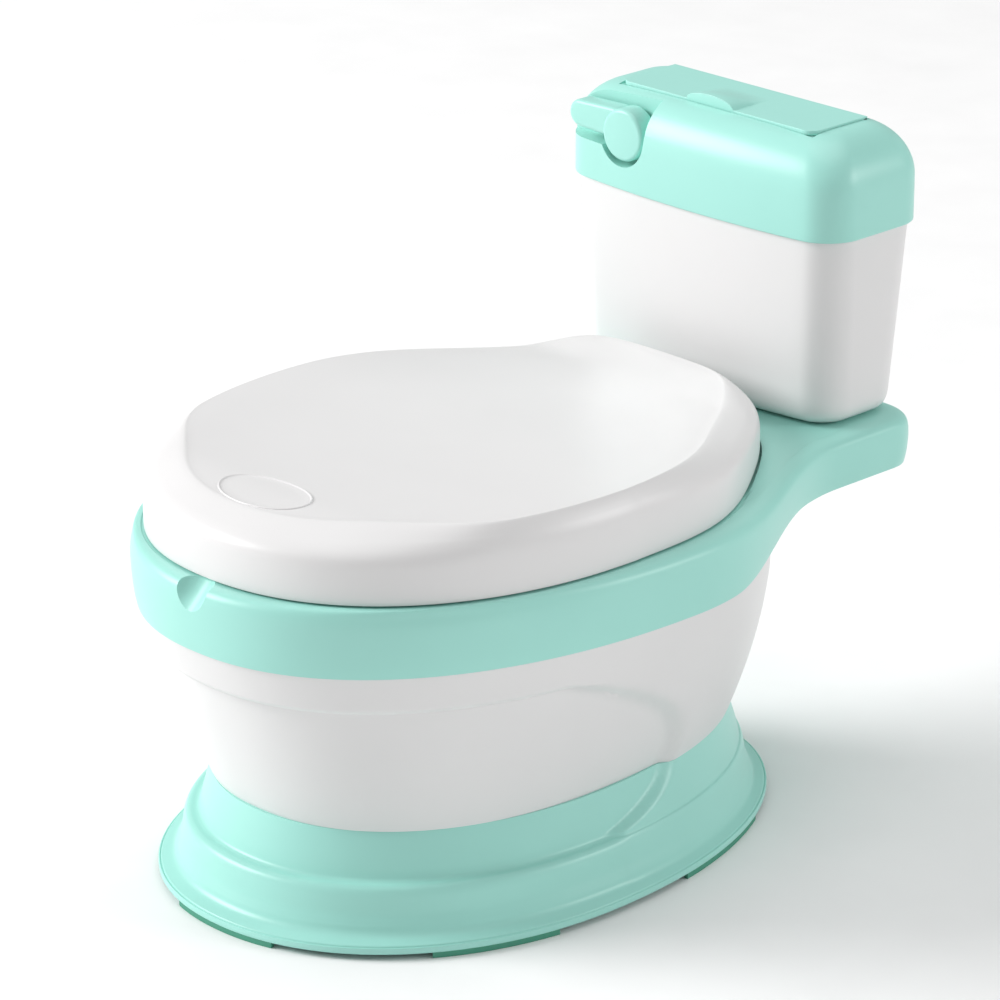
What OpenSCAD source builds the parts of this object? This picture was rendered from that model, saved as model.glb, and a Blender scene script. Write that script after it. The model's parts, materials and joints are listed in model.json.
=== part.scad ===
/* [Pedestal] */
// Half-width of the pedestal at its lip
base_w = 123; // [118:1:128]
// Distance from the origin to the pedestal's front lip
base_front = 193; // [188:1:197]
// Distance from the origin to the pedestal's rear lip
base_rear = 149; // [145:1:155]
// Height at which the bowl stands on the pedestal
base_top = 55; // [54:1:56]
// Height of the non-slip pads under the lip
pad_h = 3; // [2:0.5:3]

/* [Bowl] */
// Half-width of the bowl under the rim
bowl_w = 131.5; // [130:0.5:132]
// Distance from the origin to the bowl's front under the rim
bowl_front = 200.5; // [199:0.5:201]
// Height of the lower edge of the raised band
band_z = 126; // [122:1:130]
// Depth of the pressed-in panel on the front and sides
panel_depth = 4; // [3:0.5:5]

/* [Rim and deck] */
// Widest half-width of the rim
rim_w = 135; // [134:0.5:136]
// Distance from the origin to the rim's front
rim_front = 204; // [203:0.5:205]
// Height of the rim's lower edge
rim_z = 146.6; // [145:0.2:148]
// Height of the ledge round the lid
ledge_z = 181; // [180.5:0.1:181.2]
// Half-width of the neck that carries the tank
neck_w = 98; // [97:0.5:100]
// Distance from the origin to the rear of the neck
neck_rear = 201.5; // [199:0.5:203]
// Height of the deck under the tank
deck_z = 190; // [189:0.5:190]

/* [Lid and seat] */
// Half-width of the lid
lid_w = 125.2; // [124:0.2:126]
// Distance from the origin to the lid's front
lid_front = 194; // [193:0.5:195]
// Distance from the origin to the lid's rear
lid_rear = 121; // [119:0.5:122]
// Height of the lid's lower edge at the front
lid_z = 181.8; // [181.4:0.2:182.2]
// Height of the top of the lid's skirt
skirt_z = 204; // [203:0.5:205]
// Distance from the origin to the hinge axis
hinge_y = 106; // [105.5:0.5:106.5]
// Height of the hinge axis
hinge_z = 200; // [199.5:0.5:200.5]
// Radius of the hinge pins
pin_r = 2.5; // [2:0.5:3]

/* [Tank] */
// Half-width of the tank cover at its lower edge
tank_w = 93.5; // [93:0.5:94]
// Distance from the origin to the front corners of the tank cover
tank_front = 133; // [132.5:0.5:133.5]
// Distance from the origin to the rear of the tank cover
tank_rear = 204; // [203.5:0.5:204.5]
// How far the middle of the front bulges forward
tank_bow = 7; // [5:0.5:7]
// Height of the tank cover's lower edge
cover_z = 290; // [289:0.5:291]
// Height of the tank cover's top
top_z = 339; // [338.5:0.5:339.5]
// Half-width of the flap on top
door_w = 66; // [64:0.5:67]

/* [Lever] */
// Sideways place of the lever's shaft
lever_x = -46.5; // [-48:0.5:-45]
// Height of the lever's shaft
lever_z = 318.5; // [317:0.5:319.5]
// Radius of the lever's shaft
shaft_r = 4; // [3.5:0.5:4]

/* [Hidden] */
$fn = 48;

mint = "#a9e4d4";
green = "#4f9f86";
white = "#f4f4f2";
steel = "#b8bcc0";
fit = 0.05;
wall = 3;
bowl_mid = -2;
lid_mid = -34;

function spow(v, e) = sign(v) * pow(abs(v), e);
function mix(a, b, k) = a + (b - a) * k;
function clamp01(v) = max(0, min(1, v));
function ease(v) = let (u = clamp01(v)) u * u * (3 - 2 * u);

// A point of an egg outline: f front, c widest place, r rear, w half-width, nf and nr squareness
function egg(a, f, c, r, w, nf = 2.2, nr = 2.2) =
    let (n = sin(a) > 0 ? nr : nf)
    [w * spow(cos(a), 2 / n), c + (sin(a) > 0 ? r - c : c - f) * spow(sin(a), 2 / n)];

function egg_ring(z, f, c, r, w, sides = 48, nf = 2.2, nr = 2.2) =
    [for (i = [0:sides - 1]) let (p = egg(360 * i / sides, f, c, r, w, nf, nr)) [p[0], p[1], z]];

// A closed skin through rings of equal length, with flat ends or joined into a loop
module skin(rings, loop = false) {
    n = len(rings[0]);
    m = len(rings);
    walls = [for (i = [0:loop ? m - 1 : m - 2], j = [0:n - 1], half = [0, 1])
        let (a = i * n + j, b = i * n + (j + 1) % n)
        let (c = (i + 1) % m * n + (j + 1) % n, d = (i + 1) % m * n + j)
        half == 0 ? [a, d, c] : [a, c, b]];
    ends = loop ? [] : [[for (j = [0:n - 1]) j], [for (j = [n - 1:-1:0]) (m - 1) * n + j]];
    polyhedron(points = [for (r = rings) each r], faces = concat(walls, ends), convexity = 10);
}

// ---- Pressed-in panel shared by the bowl and the pedestal ----
// Rear limit of the panel at a height: it curls forward at the top and at the foot
panel_top = 126;
panel_foot = 32;
panel_rear = 15;
function panel_limit(z) =
    let (up = clamp01((z - 66) / (panel_top - 66)), down = clamp01((62 - z) / (62 - panel_foot)))
    panel_rear - 85 * pow(up, 2.1) - 50 * pow(down, 2.6);
function panel(y, z) = z > panel_top || z < panel_foot ? 0 : ease((panel_limit(z) + 5 - y) / 12);

// ---- Pedestal ----
base_mid = -39;
foot_profile = [[0, 0, 3], [0, 0, 6.4], [0.30, 0.28, 9.6], [0.40, 0.34, 13], [0.45, 0.40, 19],
    [0.48, 0.46, 25], [0.56, 0.51, 29.5], [0.76, 0.55, 32.5], [0.85, 0.60, 37], [0.92, 0.68, 45],
    [0.97, 0.77, 52], [1, 0.8, 55]];
function foot_point(a, s, z) =
    let (p = egg(a, -base_front + 27 * s, base_mid + 9.5 * s, base_rear - 31 * s, base_w - 22.3 * s, 2.1,
        2.1))
    [p[0], p[1], z];
function foot_ring(k, grow = 0) =
    [for (i = [0:47])
        let (a = 7.5 * i, row = foot_profile[k], z = row[2] * base_top / 55)
        let (y = foot_point(a, row[0], z)[1], m = ease((panel_limit(max(z, 34)) + 5 - y) / 12))
        foot_point(a, mix(row[1], row[0], m) + grow, z)];

module base_pedestal() {
    color(mint)
    difference() {
        skin(concat(
            [egg_ring(base_top - wall, -60, base_mid, 20, 40)],
            [[for (p = foot_ring(11, 0.14)) [p[0], p[1], base_top - wall]]],
            [for (k = [9:-2:1]) foot_ring(k, 0.14)],
            [[for (p = foot_ring(0, 0.14)) [p[0], p[1], pad_h]]],
            [[for (p = foot_ring(0)) [p[0], p[1], pad_h]]],
            [for (k = [1:11]) foot_ring(k)],
            [egg_ring(base_top, -60, base_mid, 20, 40)]));
        at_base_screws() cylinder(r = 1.75, h = 200, center = true);
    }
    color(mint)
    at_base_screws() translate([0, 0, base_top - 12]) tube(4.5, 1.75, 12 - wall);
}

module tube(outer, inner, h) {
    difference() {
        cylinder(r = outer, h = h);
        translate([0, 0, -1]) cylinder(r = inner, h = h + 2);
    }
}

module at_base_screws() {
    for (x = [-55, 55], y = [-105, 45])
        translate([x, y, 0]) children();
}

module base_screws() {
    color(steel)
    at_base_screws() {
        translate([0, 0, base_top - 12]) cylinder(r = 1.75, h = 20);
        translate([0, 0, base_top - 14.2]) cylinder(r = 3.6, h = 2.2);
    }
}

// Pads: six arcs that follow the lip, each given by its two end angles
pad_spans = [[-104, -75], [-40, -14], [14, 40], [76, 104], [140, 166], [-166, -140]];
module foot_pads() {
    color(green)
    for (span = pad_spans)
        linear_extrude(height = pad_h)
            polygon(concat(
                [for (i = [0:8]) let (a = mix(span[0], span[1], i / 8), p = foot_point(a, 0.02,
                    0)) [p[0], p[1]]],
                [for (i = [8:-1:0]) let (a = mix(span[0], span[1], i / 8), p = foot_point(a, 0.12,
                    0)) [p[0], p[1]]]));
}

// ---- Bowl ----
// Outline of the bowl at a height, before the panel is pressed in
function bowl_point(a, z, inset = 0) =
    let (k = clamp01((z - base_top) / (rim_z - base_top)), b = pow(k, 0.9))
    egg(a, -mix(base_front - 27 + 4 - 0.5, bowl_front, b) + inset, mix(-31, bowl_mid, k),
        124 + 9 * sin(180 * clamp01(k * 0.9)) - 2 * k - inset, mix(104.2, bowl_w, b) - inset);
function bowl_ring(z, inset = 0) =
    [for (i = [0:47])
        let (a = 7.5 * i, p = bowl_point(a, z, inset), q = bowl_point(a, z,
            inset + panel_depth * panel(p[1], z)))
        [q[0], q[1], z]];
// The part tucked inside the rim and neck: its foot follows the lower edge of the neck
tuck_drop = 11;
function tuck_ring(lift, inset) =
    [for (i = [0:47]) let (p = bowl_point(7.5 * i, rim_z, inset)) [p[0], p[1], neck_edge(p[1]) + lift]];

module bowl_body() {
    heights = [base_top, 62, 70, 79, 88, 97, 106, 114, 120, band_z - 0.8];
    color(white)
    difference() {
        skin(concat(
            [egg_ring(base_top, -60, base_mid, 20, 40)],
            [for (z = heights) bowl_ring(z)],
            [for (z = [band_z + 0.6, 136]) bowl_ring(z)],
            [tuck_ring(-0.6, 0), tuck_ring(-0.5, 3)],
            [[for (p = tuck_ring(0, 3)) [p[0], p[1], ledge_z - tuck_drop]]],
            [[for (p = tuck_ring(0, 5.8)) [p[0], p[1], ledge_z - tuck_drop]]],
            [for (z = [140, 118, 97, 79, 64]) bowl_ring(z, z > 120 ? 5.6 : 3.2)],
            [[for (p = bowl_ring(base_top, 3.2)) [p[0], p[1], base_top + wall]]],
            [egg_ring(base_top + wall, -60, base_mid, 20, 40)]));
        at_base_screws() cylinder(r = 1.75, h = 200, center = true);
    }
    color(white)
    at_base_screws() translate([0, 0, base_top + wall]) tube(4.5, 1.75, 9);
}

// ---- Rim, neck and deck ----
neck_y = 139;
// Height of the lower edge of the rim and neck
function neck_edge(y) = rim_z + 0.2 + 16.8 * ease((y - 30) / 82);
// Height of the upper surface outside the lid
function deck_top(y) = mix(ledge_z, deck_z, ease((y - 55) / 75));
// Half-width of the rim behind its widest place
function rim_half(y, w, tail) =
    let (u = clamp01((y - bowl_mid) / (neck_y - bowl_mid)))
    tail + (w - tail) * 0.5 * (1 + cos(180 * pow(u, 1.1)));

side_steps = 10;
turn_steps = 5;
turn_r = 20;
front_steps = 24;
// Room between the rim's outside and the lid, in front: least at the diagonals
function rim_room(a) = 1.5 + 6.2 * pow(cos(2 * a), 2);
// Outline of the rim and neck, counter-clockwise from the right side's widest place,
// set in by share k of the room there is, or by d
function rim_outline(k, d, rear_in) =
    let (w = rim_w - k * rim_room(0) - d, tail = neck_w - 10 * k - d, rear = neck_rear - rear_in)
    let (side = [for (i = [0:side_steps - 1])
            let (y = mix(bowl_mid, rear - turn_r, i / side_steps)) [rim_half(y, w, tail), y]])
    let (turn = [for (i = [0:turn_steps])
            let (a = 90 * i / turn_steps) [tail - turn_r + turn_r * cos(a), rear - turn_r + turn_r * sin(a)]])
    let (half = concat(side, turn, [[tail * 0.38, rear]]))
    let (m = len(half))
    concat(half, [for (i = [m - 1:-1:1]) [-half[i][0], half[i][1]]],
        [for (i = [0:front_steps - 1])
            let (a = 180 + 180 * i / front_steps, g = k * rim_room(a) + d)
            egg(a, -rim_front + g, bowl_mid, 100, rim_w - g)]);

// An egg with as many points as the outline above has, front and rear
rear_points = 2 * (side_steps + turn_steps + 2) - 1;
function inner_angle(i) = i < rear_points ? 180 * i / rear_points : 180 + 180 * (i - rear_points) / front_steps;
function inner_ring(f, c, r, w, nr = 2.2) =
    [for (i = [0:rear_points + front_steps - 1]) egg(inner_angle(i), -f, c, r, w, 2.2, nr)];
function at_z(ring, z) = [for (p = ring) [p[0], p[1], z]];
function on_edge(ring, lift) = [for (p = ring) [p[0], p[1], neck_edge(p[1]) + lift]];
function on_deck(ring, lift) = [for (p = ring) [p[0], p[1], deck_top(p[1]) + lift]];
function between(a, b, k) = [for (i = [0:len(a) - 1]) [mix(a[i][0], b[i][0], k), mix(a[i][1], b[i][1], k)]];

// Outline of the lid: an egg in front; behind, straight sides that close in to a straight rear
lid_round = 14;
lid_slant = 0.63;
lid_slant_at = 142.8;
function lid_edge(a, d, rear) =
    let (mid = mix(lid_mid, -38, max(0, d) / 125))
    sin(a) <= 0 ? egg(a, -lid_front + d, mid, 100, lid_w - d)
    : let (c = abs(cos(a)), s = sin(a))
      let (r1 = (lid_w - d) / max(c, 0.001),
           r2 = (lid_slant_at - lid_slant * mid - d * norm([1, lid_slant])) / (c + lid_slant * s),
           r3 = (lid_rear - rear - mid) / s)
      let (r = pow(pow(r1, -lid_round) + pow(r2, -lid_round) + pow(r3, -lid_round), -1 / lid_round))
      [r * cos(a), mid + r * s];
function lid_gap(g) = [for (i = [0:rear_points + front_steps - 1]) lid_edge(inner_angle(i), -g, -g)];
// Under the step down to the ledge: outside the lid behind, inside the rim's wall in front
function under_step() =
    [for (i = [0:rear_points + front_steps - 1])
        let (a = inner_angle(i), g = mix(-3.5, 4, ease(sin(a) / 0.45))) lid_edge(a, -g, -g)];
lid_room = 1;
ledge_step = 0.2;
well_front = 158;
well_mid = -40;
well_rear = 72;
well_w = 92;
well_depth = 9;

module rim_deck() {
    inner = rim_outline(0, 5.2, wall + 1);
    well = inner_ring(well_front, well_mid, well_rear, well_w);
    well_back = inner_ring(well_front + 2.5, well_mid, well_rear + 2.5, well_w + 2.5);
    gap = lid_gap(lid_room);
    crown = rim_outline(1, 0, 11);
    color(mint)
    difference() {
        union() {
            skin([on_edge(rim_outline(0, 2.4, 0), 0), on_edge(rim_outline(0, 0, 0), 10),
                on_deck(rim_outline(0, 1, 2.5), -7), on_deck(rim_outline(0.5, 0.4, 7), -2),
                on_deck(crown, 0), on_deck(between(crown, gap, 0.5), 0), on_deck(gap, 0),
                at_z(lid_gap(lid_room - 0.1), ledge_z - ledge_step), at_z(well, ledge_z - ledge_step),
                at_z(well, ledge_z - well_depth), at_z(well_back, ledge_z - well_depth),
                at_z(well_back, ledge_z - wall), at_z(under_step(), ledge_z - wall),
                on_deck(between(inner, under_step(), 0.5), -wall),
                on_deck(inner, -wall - 4), on_edge(inner, 0)], loop = true);
            for (side = [-1, 1])
                translate([side * 37, 0, 0]) hinge_ear(7, ledge_z - 1, 5.5);
            at_tank_screws() translate([0, 0, deck_z - 12]) cylinder(r = 4.5, h = 10);
            scoop_backing();
        }
        at_tank_screws() cylinder(r = 1.75, h = 600, center = true);
        hinge_bore(pin_r);
        scoop(scoop_r);
    }
}

// A half-round scoop at the front for a finger under the lid, with a wall behind it
scoop_r = 11.5;
module scoop(r) {
    translate([0, -rim_front - 8, ledge_z - 5])
        rotate([-45, 0, 0]) cylinder(r = r, h = 50, center = true);
}

module scoop_backing() {
    intersection() {
        scoop(scoop_r + wall - 0.5);
        translate([-16, -rim_front + 4.5, ledge_z - 16]) cube([32, 6, 15.5]);
    }
}

module at_tank_screws() {
    for (x = [-60, 60], y = [152, 184])
        translate([x, y, 0]) children();
}

// An upright ear with a round head on the hinge axis
module hinge_ear(width, foot, r) {
    translate([-width / 2, hinge_y, hinge_z]) rotate([0, 90, 0]) cylinder(r = r, h = width);
    translate([-width / 2, hinge_y - r, foot]) cube([width, 2 * r, hinge_z - foot]);
}

module hinge_bore(r) {
    translate([-60, hinge_y, hinge_z]) rotate([0, 90, 0]) cylinder(r = r, h = 120);
}

module hinge_pins() {
    color(steel)
    for (side = [-1, 1])
        translate([side * 34 - 8, hinge_y, hinge_z]) rotate([0, 90, 0]) cylinder(r = pin_r, h = 16);
}

seat_z = ledge_z - 0.2;
seat_top = seat_z + 11.5;
shelf_z = seat_z + 5.5;
// ---- Pot ----
// It hangs in the seat ring by its flange and lifts straight out
module inner_pot() {
    lip_z = shelf_z + 0.3;
    color(white)
    skin([
        egg_ring(72, -70, -50, 0, 20), egg_ring(72, -112, -45, 28, 52), egg_ring(76, -118, -45, 34, 58),
        egg_ring(120, -134, -43, 44, 68), egg_ring(lip_z, -146.5, -42, 53.5, 76.5),
        egg_ring(lip_z, -156, -40, 62, 86), egg_ring(lip_z + 2.4, -156, -40, 62, 86),
        egg_ring(lip_z + 2.4, -146.5, -42, 53.5, 76), egg_ring(lip_z, -144, -42, 51, 74),
        egg_ring(120, -131.5, -43, 41.5, 65.5), egg_ring(78, -115.5, -45, 31.5, 55.5),
        egg_ring(74.5, -109, -45, 25, 49), egg_ring(74.5, -70, -50, 0, 20)]);
}

// ---- Seat ring ----
// It rests on the ledge; a shelf round its opening carries the pot
module seat_ring() {
    color(white)
    skin([
        egg_ring(seat_z, -183, -36, 86, 113), egg_ring(seat_z + 6, -184.5, -36, 87, 114.5),
        egg_ring(seat_z + 10, -180, -36, 84, 110), egg_ring(seat_top, -173, -37, 79, 104),
        egg_ring(seat_top, -165, -38, 71, 96), egg_ring(shelf_z + 3, -158, -40, 64, 88),
        egg_ring(shelf_z, -157, -40, 63, 87), egg_ring(shelf_z, -149, -42, 56, 79),
        egg_ring(seat_z, -148, -42, 55, 78)], loop = true);
}

// ---- Lid ----
// Height of the lid's upper face: a spoon-like dish, lower towards the tank, with a raised lip at the rear
dish_depth = 5;
function dish(x, y) = clamp01(1 - pow(x / 112, 2) - pow((y + 45) / 130, 2));
function lid_crown(x, y) =
    216 - 3 * ease((-145 - y) / 45) - 4.5 * ease((y + 20) / 110) + 6 * ease((y - 86) / 25) - dish_depth * dish(x, y);
function rear_inset(d) = 0.26 * d * (1 + d / 40) + 28 * ease((d - 40) / 80);
// One ring of the lid: d is how far it lies inside the skirt, k how far up the shoulder
function lid_ring(d, k, drop = 0, rear = -1) =
    [for (i = [0:47])
        let (p = lid_edge(7.5 * i, d, rear < 0 ? rear_inset(d) : rear))
        [p[0], p[1], skirt_z + (lid_crown(p[0], p[1]) - skirt_z) * k - drop]];
// The shoulder is wide at the front and rear and narrow along the sides
shoulder_w = 20;
function shoulder_share(a) =
    sin(a) < 0 ? mix(0.36, 1.05, ease((-sin(a) - 0.38) / 0.45)) : mix(0.36, 1, ease(sin(a) / 0.9));
function shoulder_ring(t, k) =
    [for (i = [0:47])
        let (a = 7.5 * i, d = t * mix(shoulder_share(a), 1, clamp01((t - shoulder_w) / 14)),
             p = lid_edge(a, d, rear_inset(d)))
        [p[0], p[1], skirt_z + (lid_crown(p[0], p[1]) - skirt_z) * k]];
// The skirt's lower edge follows the ledge and rises towards the hinge
function lid_foot(d) = [for (p = lid_ring(d, 0, 0, d)) [p[0], p[1],
    lid_z + deck_top(p[1]) - ledge_z + 1.2 * ease((p[1] - 92) / 20)]];

bumper_spots = [[54, -154], [99.5, -15]];
module lid() {
    color(white)
    difference() {
        union() {
            skin([
                at_z(lid_ring(100, 1), 208.3), lid_ring(80, 1, wall), lid_ring(50, 1, wall), lid_ring(26,
                    1, wall),
                lid_ring(10, 0.6, wall, 6), lid_ring(3, 0, wall, 3), lid_foot(3), lid_foot(0),
                shoulder_ring(0, -0.3), shoulder_ring(1, 0), shoulder_ring(4, 0.36), shoulder_ring(9, 0.62),
                shoulder_ring(15.5, 0.9), shoulder_ring(shoulder_w, 1), shoulder_ring(27, 1), lid_ring(45, 1),
                lid_ring(70, 1), lid_ring(88, 1), at_z(lid_ring(100, 1), 211.3)]);
            for (side = [-1, 1])
                translate([side * 30.5, 0, 0]) lid_ear();
            for (side = [-1, 1], p = bumper_spots)
                translate([side * p[0], p[1], seat_top + 4])
                    cylinder(r = 4, h = lid_crown(p[0], p[1]) - 1.5 - seat_top - 4);
        }
        hinge_bore(pin_r + fit);
        at_emblem() translate([0, 0, -1.4]) linear_extrude(height = 8) emblem_outline(0.1);
        for (side = [-1, 1])
            translate([side * 34.5 - 8.5, hinge_y + 4, lid_z - 2]) cube([17, 20, hinge_z + 7.5 - lid_z + 2]);
    }
}

// The ears hang from the underside of the lid
module lid_ear() {
    translate([-2.5, hinge_y, hinge_z]) rotate([0, 90, 0]) cylinder(r = 5, h = 5);
    translate([-2.5, hinge_y - 5, hinge_z]) cube([5, 9, 14]);
}

// The blank oval sits near the front, where the lid slopes gently forward
module at_emblem() {
    translate([0, -156, 215.9]) rotate([6.3, 0, 0]) children();
}

module emblem_outline(grow = 0) {
    polygon([for (i = [0:47]) [(27.5 + grow) * cos(7.5 * i), (17 + grow) * sin(7.5 * i)]]);
}

module lid_emblem() {
    color(white)
    at_emblem() translate([0, 0, -1.4]) linear_extrude(height = 1.6) emblem_outline();
}

module lid_bumpers() {
    color(green)
    for (side = [-1, 1], p = bumper_spots)
        translate([side * p[0], p[1], seat_top + 0.3]) cylinder(r = 3.2, h = 3.7);
}

// ---- Tank ----
tank_top = cover_z + 5;
// A rounded rectangle with a bowed front, drawn in from the cover's lower edge by side, front and rear
function tank_ring(z, side, front, rear, r = 18) =
    let (w = tank_w - side, f = tank_front + front, b = tank_rear - rear)
    let (turn = function (cx, cy, a0) [for (i = [0:5]) [cx + r * cos(a0 + 18 * i),
        cy + r * sin(a0 + 18 * i)]])
    let (line = [for (i = [1:5]) [mix(-w + r, w - r, i / 6), f]])
    let (path = concat(turn(w - r, b - r, 0), [[0, b]], turn(-w + r, b - r, 90), turn(-w + r, f + r,
        180), line,
        turn(w - r, f + r, 270)))
    [for (p = path) [p[0], p[1] > f + r ? p[1] : p[1] - tank_bow * (1 - pow(p[0] / w,
        2)) * (f + r - p[1]) / r, z]];

module tank_body() {
    color(white)
    difference() {
        union() {
            skin([
                tank_ring(deck_z, 19, 19, 19, 9), tank_ring(deck_z + 1.5, 12.5, 12.5, 12.5, 13),
                tank_ring(deck_z + 6, 8.2, 8.2, 8.2, 17), tank_ring(deck_z + 13, 7, 7, 7),
                    tank_ring(cover_z, 2, 2, 2),
                tank_ring(tank_top, 2, 2, 2), tank_ring(tank_top, 5, 5, 5, 15), tank_ring(cover_z, 5, 5,
                    5, 15),
                tank_ring(deck_z + 13, 10, 10, 10, 15), tank_ring(deck_z + 6, 12, 12, 12, 13),
                tank_ring(deck_z + wall, 18, 18, 18, 10)]);
            at_tank_screws() translate([0, 0, deck_z + wall - 0.5]) cylinder(r = 4.5, h = 9);
        }
        at_tank_screws() cylinder(r = 1.75, h = 600, center = true);
    }
}

module tank_screws() {
    color(steel)
    at_tank_screws() {
        translate([0, 0, deck_z - 12]) cylinder(r = 1.75, h = 22);
        translate([0, 0, deck_z - 14.2]) cylinder(r = 3.6, h = 2.2);
    }
}

// ---- Tank cover ----
round_z = 313;
recess_y = 141.5;
door_y = 186;
door_z = 337.5;
// A ring of the rounded top: a is the angle up the rounding, t the wall inside it
function cover_ring(a, t) =
    let (z = round_z + (top_z - t * 2 - round_z) * sin(a), q = 1 - cos(a))
    tank_ring(z, t + 26 * q, t + 22 * q, t + 18 * q, 18 - 8 * q - t / 2);

module tank_lid() {
    color(mint)
    difference() {
        union() {
            difference() {
                skin([
                    cover_ring(90, wall), cover_ring(60, wall), cover_ring(30, wall), cover_ring(0, wall),
                    tank_ring(tank_top + 0.3, 3.4, 3.4, 3.4, 16), tank_ring(tank_top + 0.3, 1.7, 1.7,
                        1.7, 17),
                    tank_ring(cover_z, 1.7, 1.7, 1.7, 17), tank_ring(cover_z, 0.4, 0.4, 0.4),
                    tank_ring(cover_z + 1, 0, 0, 0), cover_ring(0, 0), cover_ring(18, 0), cover_ring(36, 0),
                    cover_ring(54, 0), cover_ring(72, 0), cover_ring(90, 0)]);
                recess(0);
            }
            intersection() {
                skin([tank_ring(cover_z + 5.5, 1.8, 1.8, 1.8), cover_ring(0, 0), cover_ring(18, 0),
                    cover_ring(36, 0),
                    cover_ring(54, 0), cover_ring(72, 0), cover_ring(90, 0)]);
                difference() {
                    recess(wall);
                    recess(0);
                }
            }
            for (p = sound_posts)
                translate([p[0], p[1], sound_top]) cylinder(r = 3.5, h = 332 - sound_top + 2);
        }
        door_seat();
        translate([-door_w - wall, door_y, door_z]) rotate([0, 90, 0]) cylinder(r = 1,
            h = 2 * (door_w + wall));
        translate([lever_x, 120, lever_z]) rotate([-90, 0, 0]) cylinder(r = shaft_r + fit, h = 60);
        for (p = sound_posts)
            translate([p[0], p[1], sound_top - 1]) cylinder(r = 1.2, h = 11);
    }
}

// The pocket round the lever: a round well with a channel to the cover's end
module recess(t) {
    translate([lever_x, 100, lever_z]) rotate([-90, 0, 0]) cylinder(r = 16.5 + t, h = recess_y - 100 + t);
    translate([lever_x - 60, 100, 310.5 - t]) cube([60, recess_y - 100 + t, 60]);
    translate([lever_x - 1, 100, lever_z]) cube([17.5 + t, recess_y - 100 + t, 60]);
}

module door_seat() {
    translate([-door_w - 0.4, 146.6, door_z - 0.2]) cube([2 * door_w + 0.8, 42.6, 20]);
    translate([-door_w - 0.4, door_y - 2.6, door_z - 2.5]) cube([2 * door_w + 0.8, 5.8, 20]);
    translate([-60, 157, 320]) cube([120, 24, 40]);
}

// ---- Wipes box and its flap ----
module wipes_box() {
    top = top_z - 2 * wall - 0.1;
    color(white)
    difference() {
        translate([-62, 155.2, 262]) cube([124, 27.8, top - 262]);
        translate([-60.2, 157, 263.8]) cube([120.4, 24.2, 100]);
    }
}

module wipes_door() {
    color(mint)
    difference() {
        union() {
            translate([0, 0, door_z + 0.1])
                linear_extrude(height = 2.5) door_outline();
            translate([-door_w, door_y, door_z]) rotate([0, 90, 0]) cylinder(r = 2.2, h = 2 * door_w);
            intersection() {
                lip_cone(34, 30);
                translate([-30, 140, door_z + 0.1]) cube([60, 40, 20]);
            }
        }
        translate([0, -0.1, 0]) lip_cone(31.6, 27.6);
        translate([-door_w - 1, door_y, door_z]) rotate([0, 90, 0]) cylinder(r = 1 + fit, h = 2 * door_w + 2);
    }
}

// The flap's plate: rounded front corners, straight hinge edge
module door_outline() {
    front = 147;
    r = 7;
    polygon(concat([[-door_w, door_y], [-door_w, front + r]],
        [for (i = [1:6]) [-door_w + r - r * cos(15 * i), front + r - r * sin(15 * i)]],
        [for (i = [6:-1:1]) [door_w - r + r * cos(15 * i), front + r - r * sin(15 * i)]],
        [[door_w, front + r], [door_w, door_y]]));
}

// The arched finger lip fades towards the rear
module lip_cone(r1, r2) {
    translate([-3.5, 147, 310]) rotate([-90, 0, 0]) cylinder(r1 = r1, r2 = r2, h = 20);
}

module door_pin() {
    color(steel)
    translate([-door_w - wall, door_y, door_z]) rotate([0, 90, 0]) cylinder(r = 1, h = 2 * (door_w + wall));
}

// ---- Flush lever ----
lever_front = 128.3;
lever_back = 139.5;
shaft_end = 152;
module along_y(x, y0, y1, z, r) {
    translate([x, y0, z]) rotate([-90, 0, 0]) cylinder(r = r, h = y1 - y0);
}

module flush_lever() {
    color(mint)
    difference() {
        union() {
            hull() {
                along_y(lever_x, lever_front, lever_back, lever_z - 0.5, 13.5);
                along_y(lever_x - 0.5, lever_front, lever_back, lever_z + 0.5, 12.5);
            }
            hull() {
                along_y(lever_x - 31.5, lever_front + 1, lever_back, lever_z + 4.7, 7);
                along_y(lever_x - 8, lever_front + 1, lever_back, lever_z + 4.5, 8);
            }
            along_y(lever_x, lever_back, shaft_end, lever_z, shaft_r);
        }
        along_y(lever_x, shaft_end - 9, shaft_end + 1, lever_z, 1.3);
    }
}

cam_y = 146.5;
module lever_cam() {
    color(white)
    difference() {
        union() {
            along_y(lever_x, cam_y, shaft_end, lever_z, 7);
            translate([lever_x - 27.5, cam_y, lever_z - 6.5]) cube([25.5, shaft_end - cam_y, 5]);
            translate([lever_x - 27.5, cam_y, lever_z - 6.5]) cube([8, 12.5, 5]);
        }
        along_y(lever_x, cam_y - 1, shaft_end + 1, lever_z, shaft_r);
    }
}

module cam_screw() {
    color(steel)
    along_y(lever_x, shaft_end - 8, shaft_end, lever_z, 1.3);
    color(steel)
    along_y(lever_x, shaft_end, shaft_end + 2, lever_z, 4.6);
}

// Torsion spring: two turns round the shaft, one leg up and one towards the cam
module lever_spring() {
    color(steel)
    translate([lever_x, 145.5, lever_z]) rotate([-90, 0, 0])
        rotate_extrude() translate([5.4, 0]) circle(r = 0.5);
    color(steel)
    translate([lever_x + 5.4, 145.5, lever_z]) cylinder(r = 0.45, h = 12);
}

// ---- Flush-sound unit ----
sound_top = 303;
sound_posts = [[-79, 164], [-79, 181]];
button_spot = [-70, 156];
cell_r = 5.8;
module switch_button() {
    color("#333333")
    translate([button_spot[0], button_spot[1], 300.5]) cylinder(r = 2.5, h = 11.1);
}

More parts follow.
